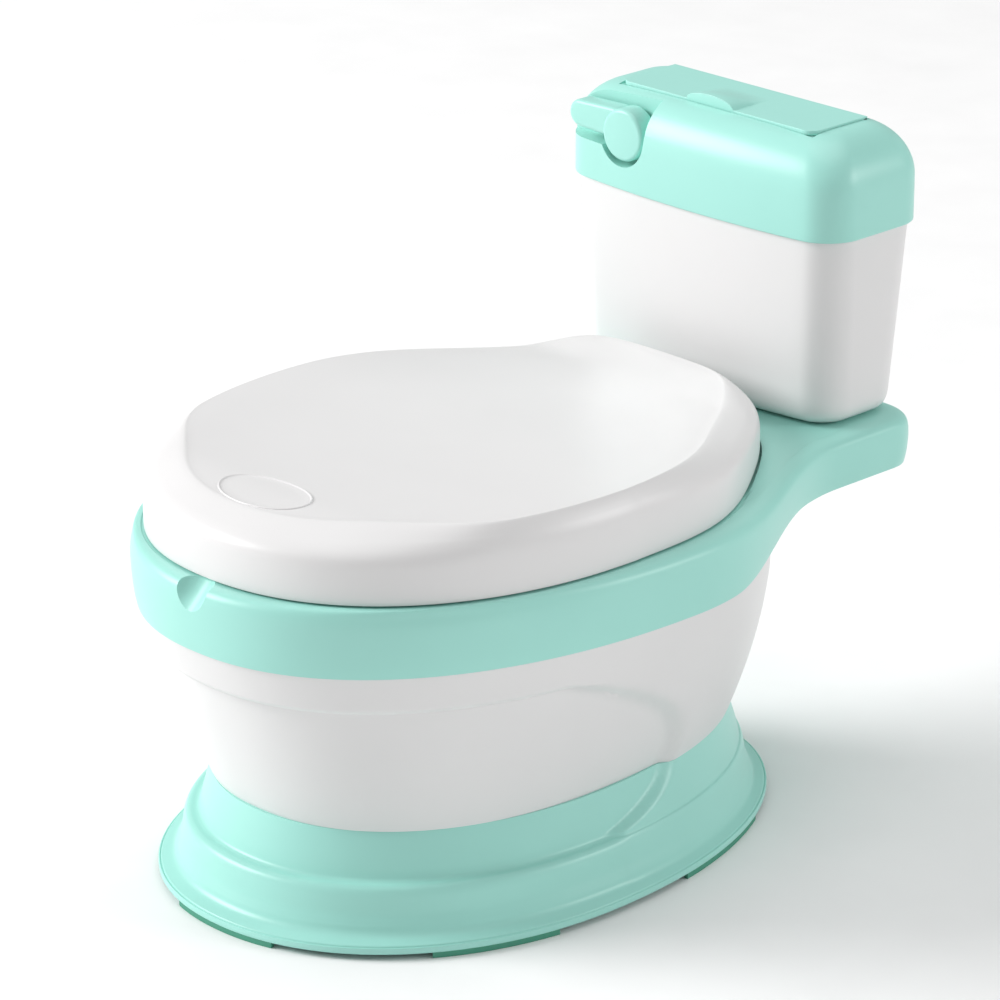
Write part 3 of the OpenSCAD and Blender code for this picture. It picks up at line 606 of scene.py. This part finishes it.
# lid
lid = {
    "foot": 181.8, "skirt": 204, "crown": 216, "wall": 3, "sides": 288, "rearDraw": 0.26, "dish": 5,
    "dishY": -45, "shoulder": 20,
    # way in from the edge, and share of the way up from the skirt to the crown
    "roundOver": [[0, -0.55], [0.25, -0.25], [1.2, 0.02], [3, 0.24], [6, 0.46], [9, 0.62], [12.5, 0.785],
                  [16.2, 0.935], [18.4, 1.0], [19.6, 1.015], [21, 1.0]],
    "lugX": 30.5, "lugHalf": 2.5, "bumpers": ((54, -154), (99.5, -15)),
}


def lidCrown(x, y):
    # a spoon-like dish, lower towards the tank, with a raised lip at the rear
    dish = clamp01(1 - (x / 112) ** 2 - ((y - lid["dishY"]) / 130) ** 2)
    return lid["crown"] - 3 * ease((-145 - y) / 45) - 4.5 * ease((y + 20) / 110) + 6 * ease((y - 86) / 25) \
        - lid["dish"] * dish


def rearDraw(d):
    # the straight rear is drawn in less than the sides, until the rings near the middle
    return lid["rearDraw"] * d * (1 + d / 40) + 28 * ease((d - 40) / 80)


def lidRing(d, k, drop=0.0, rear=None):
    out = []
    for i in range(lid["sides"]):
        x, y = lidEdge(360 * i / lid["sides"], d, rearDraw(d) if rear is None else rear)
        out.append((x, y, mix(lid["skirt"], lidCrown(x, y), k) - drop))
    return out


def lidFoot(d, lift=0.0):
    return [(x, y, lid["foot"] + lift + deckTop(y) - ledgeZ + 1.2 * ease((y - 92) / 20))
            for x, y, z in lidRing(d, 0, 0, d)]


def shoulderRing(t, k):
    # the shoulder is wide at the front and rear and narrow along the sides
    out = []
    for i in range(lid["sides"]):
        a = 360 * i / lid["sides"]
        up = sinOf(a)
        share = mix(0.36, 1.05, ease((-up - 0.38) / 0.45)) if up < 0 else mix(0.36, 1, ease(up / 0.9))
        d = t * mix(share, 1, clamp01((t - lid["shoulder"]) / 14))
        x, y = lidEdge(a, d, rearDraw(d))
        out.append((x, y, mix(lid["skirt"], lidCrown(x, y), k)))
    return out


wall, lastRing = lid["wall"], lidRing(105, 1)
rings = [atZ(lidRing(100, 1), 208.3)] + [lidRing(d, 1, wall) for d in (80, 50, 26)]
rings += [lidRing(10, 0.6, wall, 6), lidRing(wall, 0, wall, 3)]
rings += [lidFoot(wall), lidFoot(2.6), lidFoot(0.5), lidFoot(0.1, 0.15), lidFoot(0, 0.5), lidFoot(0.05, 2)]
rings += [shoulderRing(t, k) for t, k in smoothRows(lid["roundOver"], 4)]
rings += [shoulderRing(t, 1) for t in (24.5, 27, 30, 34)]
rings += [lidRing(d, 1) for d in (38, 43, 48, 54, 60, 67, 74, 82, 90, 98)] + [lastRing]
for k in (0.75, 0.5, 0.3, 0.14, 0.04):  # the last rings close in on the middle of the dish
    ring = [(x * k, lid["dishY"] + (y - lid["dishY"]) * k) for x, y, z in lastRing]
    rings.append([(x, y, lidCrown(x, y)) for x, y in ring])
bm = bmesh.new()
loft(bm, rings)
for side in (-1, 1):
    x, half = side * lid["lugX"], lid["lugHalf"]
    roundRod(bm, (x, hingeY, hingeZ), "x", 5, 2 * half)
    roundBlock(bm, (x - half, 101, hingeZ), (x + half, 110, 213))
    for px, py in lid["bumpers"]:  # posts under the crown that carry the bumpers
        low, high = seatTop + 4, lidCrown(px, py) - wall / 2
        roundRod(bm, (side * px, py, (low + high) / 2), "z", 4, high - low)
finishMesh(bm, "lidShell", "lid", "lid", "white_plastic", 35)

emblem = {
    "long": 27.5, "short": 17, "y": -156, "sides": 96,
    # way in from the edge, and height over the lid: a fine ridge round a blank oval
    "section": ((0, -1.2), (0, 0.15), (0.15, 0.48), (0.5, 0.65), (0.85, 0.48), (1.1, 0.12), (1.5, 0.02),
                (6, 0.03), (12, 0.04), (16.5, 0.05)),
}


def emblemRing(inset, lift):
    ring = []
    for i in range(emblem["sides"]):
        a = 360 * i / emblem["sides"]
        x, y = (emblem["long"] - inset) * cosOf(a), emblem["y"] + (emblem["short"] - inset) * sinOf(a)
        ring.append((x, y, lidCrown(x, y) + lift))
    return ring


bm = bmesh.new()
loft(bm, [emblemRing(inset, lift) for inset, lift in emblem["section"]])
finishMesh(bm, "lidOval", "lid_emblem", "lid", "white_plastic", 60)
print("lid made")

# tank
tank = {
    "width": 93.5, "front": 133, "rear": 204, "bow": 7, "turnSteps": 12, "lineSteps": 24,
    # height over the deck, inset and corner radius
    "foot": [[0, 19, 9], [0.5, 15, 11], [2, 11.6, 13.5], [4.5, 9, 16], [8, 7.6, 17.5], [13, 7, 18]],
}


def tankRing(z, side, front, rear, r=18.0):
    # a rounded oblong with a slightly bowed front
    w, f, b = tank["width"] - side, tank["front"] + front, tank["rear"] - rear
    n, m = tank["turnSteps"], tank["lineSteps"]

    def turn(cx, cy, start):
        angles = [start + 90 * i / n for i in range(n + 1)]
        return [(cx + r * cosOf(a), cy + r * sinOf(a)) for a in angles]

    path = turn(w - r, b - r, 0) + [(mix(w - r, -w + r, i / m), b) for i in range(1, m)]
    path += turn(-w + r, b - r, 90) + turn(-w + r, f + r, 180)
    path += [(mix(-w + r, w - r, i / m), f) for i in range(1, m)] + turn(w - r, f + r, 270)
    bow = tank["bow"]
    return [(x, y if y > f + r else y - bow * (1 - (x / w) ** 2) * (f + r - y) / r, z) for x, y in path]


def evenRing(z, inset, r=18.0):
    return tankRing(z, inset, inset, inset, r)


sideFoot = deckZ + tank["foot"][-1][0]
bm = bmesh.new()
loft(bm, [evenRing(deckZ + z, inset, r) for z, inset, r in smoothRows(tank["foot"], 4)]
     + [evenRing(mix(sideFoot, coverZ, k), mix(7, 2, k)) for k in (0.25, 0.5, 0.75, 1)]
     + [evenRing(294.6, 2), evenRing(295, 2.4), evenRing(295, 4.6, 15), evenRing(294.6, 5, 15)]
     + [evenRing(coverZ, 5, 15), evenRing(sideFoot, 10, 15)]
     + [evenRing(deckZ + 6, 12, 13), evenRing(deckZ + 3, 18, 10)])
for x, y in tankScrews:
    roundRod(bm, (x, y, deckZ + 7), "z", 4.5, 9)
finishMesh(bm, "tankShell", "tank_body", "stand", "white_plastic", 40)
print("tank made")

# tank cover
cover = {
    "wall": 3, "roundZ": 313, "roundSide": 26, "roundFront": 22, "roundRear": 18, "roundCorner": 8,
    "recessY": 141.5, "recessRadius": 16.5, "recessSteps": 40, "channelZ": 310.5, "channelReach": 60,
    "shaftHole": 4.05,
    # low and high corners of what is cut out for the flap, its barrel and the wipes under it
    "flapSeat": ((-66.4, 146.6, 337.3), (66.4, 189.2, 360)),
    "barrelRoom": ((-66.4, 183.4, 335), (66.4, 189.2, 350)),
    "wipesMouth": ((-60, 157, 320), (60, 181, 350)),
}


def coverRing(a, t):
    # t inside the cover's outside, at a degrees of its round-over
    s, q = sinOf(a), 1 - cosOf(a)
    return tankRing(cover["roundZ"] + (shared["topZ"] - 2 * t - cover["roundZ"]) * s,
                    t + cover["roundSide"] * q, t + cover["roundFront"] * q, t + cover["roundRear"] * q,
                    18 - cover["roundCorner"] * q - t / 2)


def recessShape(grow):
    # a round well with a channel that runs out at the cover's end
    def build(bm):
        r, low = cover["recessRadius"] + grow, cover["channelZ"] - grow
        reach, steps = cover["channelReach"], cover["recessSteps"]
        drop = math.degrees(math.asin(clamp01((leverZ - low) / r)))
        turns = [-i * (180 - drop) / steps for i in range(steps + 1)]
        path = [(leverX + r * cosOf(a), leverZ + r * sinOf(a)) for a in turns]
        path += [(leverX - reach, low), (leverX - reach, leverZ + reach), (leverX + r, leverZ + reach)]
        loft(bm, [[(x, y, z) for x, z in path] for y in (100, cover["recessY"] + grow)])
    return build


bodyRings = [evenRing(coverZ, 0.4), evenRing(coverZ + 0.4, 0.1), evenRing(coverZ + 1, 0)]
bodyRings += [coverRing(a, 0) for a in range(0, 91, 5)]
hollow = [coverRing(a, cover["wall"]) for a in (90, 75, 60, 45, 30, 15, 0)]
hollow += [evenRing(295.3, 3.4, 16), evenRing(295.3, 1.7, 17), evenRing(coverZ, 1.7, 17)]
recessWall = looseShape("recessWall", recessShape(cover["wall"]))
combine(recessWall, looseShape("solid", lambda bm: loft(bm, bodyRings)), "INTERSECT")
bm = bmesh.new()
loft(bm, hollow + bodyRings)
coverShell = finishMesh(bm, "tankCover", "tank_lid", "cover", "mint_plastic", 38)
combine(coverShell, recessWall, "UNION")
combine(coverShell, looseShape("recess", recessShape(0)), "DIFFERENCE")
for name in ("flapSeat", "barrelRoom", "wipesMouth"):
    room = looseShape(name, lambda bm: roundBlock(bm, *cover[name], 0.01))
    combine(coverShell, room, "DIFFERENCE")
holePlace = (leverX, 145, leverZ)
hole = looseShape("shaftHole", lambda bm: roundRod(bm, holePlace, "y", cover["shaftHole"], 60, 0.01))
combine(coverShell, hole, "DIFFERENCE")
shadeRound(coverShell, 38)
print("cover made")

# flap
flap = {
    "half": 66, "front": 147, "rear": 187.5, "corner": 7, "z": 337.6, "thick": 2.5, "edge": 0.27,
    "columns": 176, "rows": 54, "lipHalf": 16, "lipRise": 4.6, "lipX": -3.5, "lipEnd": 176, "lipRun": 28,
    "barrel": 2.2,
}


def lipBump(x, y):
    # the arched finger lip: a half oval at the front that fades towards the hinge
    arch = math.sqrt(max(0.0, 1 - ((x - flap["lipX"]) / flap["lipHalf"]) ** 2))
    return flap["lipRise"] * arch * ease((flap["lipEnd"] - y) / flap["lipRun"])


bm = bmesh.new()
bmesh.ops.create_grid(bm, x_segments=flap["columns"], y_segments=flap["rows"], size=0.5)
bmesh.ops.scale(bm, vec=(2 * flap["half"] * mm, (flap["rear"] - flap["front"]) * mm, 1), verts=bm.verts)
bmesh.ops.translate(bm, vec=(0, (flap["rear"] + flap["front"]) / 2 * mm, flap["z"] * mm), verts=bm.verts)
for v in bm.verts:  # round the two front corners
    x, y = v.co.x / mm, v.co.y / mm
    r, cy = flap["corner"], flap["front"] + flap["corner"]
    cx = math.copysign(flap["half"] - r, x)
    if abs(x) > flap["half"] - r and y < cy:
        u, w = (x - cx) / r, (y - cy) / r
        x, y = cx + r * u * math.sqrt(1 - w * w / 2), cy + r * w * math.sqrt(1 - u * u / 2)
    v.co.x, v.co.y = x * mm, y * mm
made = bmesh.ops.extrude_face_region(bm, geom=bm.faces[:])
for v in [g for g in made["geom"] if isinstance(g, bmesh.types.BMVert)]:
    v.co.z += (flap["thick"] + lipBump(v.co.x / mm, v.co.y / mm)) * mm
bm.normal_update()
sharpTurn = 1.2  # an edge whose faces meet at more than this, in radians, gets a bevel
sharpEdges = [e for e in bm.edges if len(e.link_faces) == 2 and e.calc_face_angle(0) > sharpTurn]
bmesh.ops.bevel(bm, geom=sharpEdges, offset=flap["edge"] * mm, affect="EDGES", segments=3,
                profile=0.5, material=-1)
roundRod(bm, (0, shared["doorY"], shared["doorZ"]), "x", flap["barrel"], 2 * flap["half"])
finishMesh(bm, "storageFlap", "wipes_door", "flap", "mint_plastic", 35)
print("flap made")

# press lever
lever = {
    "front": 128.3, "back": 139.5, "edge": 2.2, "sides": 48, "shaft": 4, "shaftY": 145.5, "shaftLong": 13,
    # x, z and radius of the circle at each end
    "hub": (-46.7, 318.2, 13.6, -46.3, 318.2, 13.6), "arm": (-78, 323.2, 7, -54.5, 323, 8),
}


def capsule(x0, z0, r0, x1, z1, r1, y, inset):
    # outline of two joined circles, drawn in the plane of the tank's front
    ring = []
    for x, z, r, start in ((x0, z0, r0, 90), (x1, z1, r1, -90)):
        for i in range(lever["sides"]):
            a = start + 180 * i / lever["sides"]
            ring.append((x + (r - inset) * cosOf(a), y, z + (r - inset) * sinOf(a)))
    return ring


def leverBlock(bm, front, ends):
    e = lever["edge"]
    rings = [capsule(*ends, lever["back"], 0.4), capsule(*ends, lever["back"] - 0.4, 0)]
    rings += [capsule(*ends, front + e - e * sinOf(a), e - e * cosOf(a)) for a in (0, 18, 36, 54, 72, 90)]
    loft(bm, rings)


bm = bmesh.new()
leverBlock(bm, lever["front"], lever["hub"])
leverPiece = finishMesh(bm, "pressLever", "flush_lever", "lever", "mint_plastic", 38)
arm = looseShape("arm", lambda bm: leverBlock(bm, lever["front"] + 1, lever["arm"]))
combine(leverPiece, arm, "UNION")
shaftPlace = (leverX, lever["shaftY"], leverZ)
shaft = looseShape("shaft", lambda bm: roundRod(bm, shaftPlace, "y", lever["shaft"], lever["shaftLong"]))
combine(leverPiece, shaft, "UNION")
shadeRound(leverPiece, 38)
print("lever made")

# floor, light and camera, in metres
studio = {
    "floor": "#fcfcfc", "floorShade": "#f4f4f4", "floorSize": 6, "world": 0.38, "aimZ": 0.15,
    # place, diameter and power
    "lights": {"keyLight": ((-4.1, -3.6, 3.0), 3.2, 350.0), "fillLight": ((3.6, 2.6, 1.7), 1.6, 54.0),
               "topLight": ((-0.2, 0.6, 4.4), 4.0, 56.0)},
    "camera": (1.6144, -1.5773, 1.0331), "forward": (-0.6685, 0.6521, -0.3577), "lens": 176.9, "sensor": 36,
}
bm = bmesh.new()
bmesh.ops.create_grid(bm, x_segments=1, y_segments=1, size=studio["floorSize"])
floor = meshObject(bm, "floor")
floor.data.materials.append(
    mouldedFinish("matt_white_backdrop", studio["floor"], studio["floorShade"], 0.9, 3.0, 0.0))
floor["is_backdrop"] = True

world = bpy.data.worlds.new("studio")
bpy.context.scene.world = world
world.use_nodes = True
world.node_tree.nodes["Background"].inputs["Color"].default_value = (1, 1, 1, 1)
world.node_tree.nodes["Background"].inputs["Strength"].default_value = studio["world"]

for name, (place, size, power) in studio["lights"].items():
    data = bpy.data.lights.new(name, "AREA")
    data.shape, data.size, data.energy = "DISK", size, power
    lamp = bpy.data.objects.new(name, data)
    bpy.context.scene.collection.objects.link(lamp)
    lamp.location = place
    lamp.rotation_mode = "QUATERNION"
    lamp.rotation_quaternion = (Vector((0, 0, studio["aimZ"])) - Vector(place)).to_track_quat("-Z", "Y")

camera = bpy.data.objects.new("camera", bpy.data.cameras.new("camera"))
bpy.context.scene.collection.objects.link(camera)
camera.location = studio["camera"]
camera.rotation_mode = "QUATERNION"
camera.rotation_quaternion = Vector(studio["forward"]).to_track_quat("-Z", "Y")
camera.data.lens, camera.data.sensor_width = studio["lens"], studio["sensor"]
camera.data.clip_start, camera.data.clip_end = 0.1, 50
bpy.context.scene.camera = camera
bpy.context.scene.view_settings.view_transform = "Standard"
print("studio made")

# size: the bounds of every shown piece but the floor
low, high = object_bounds()
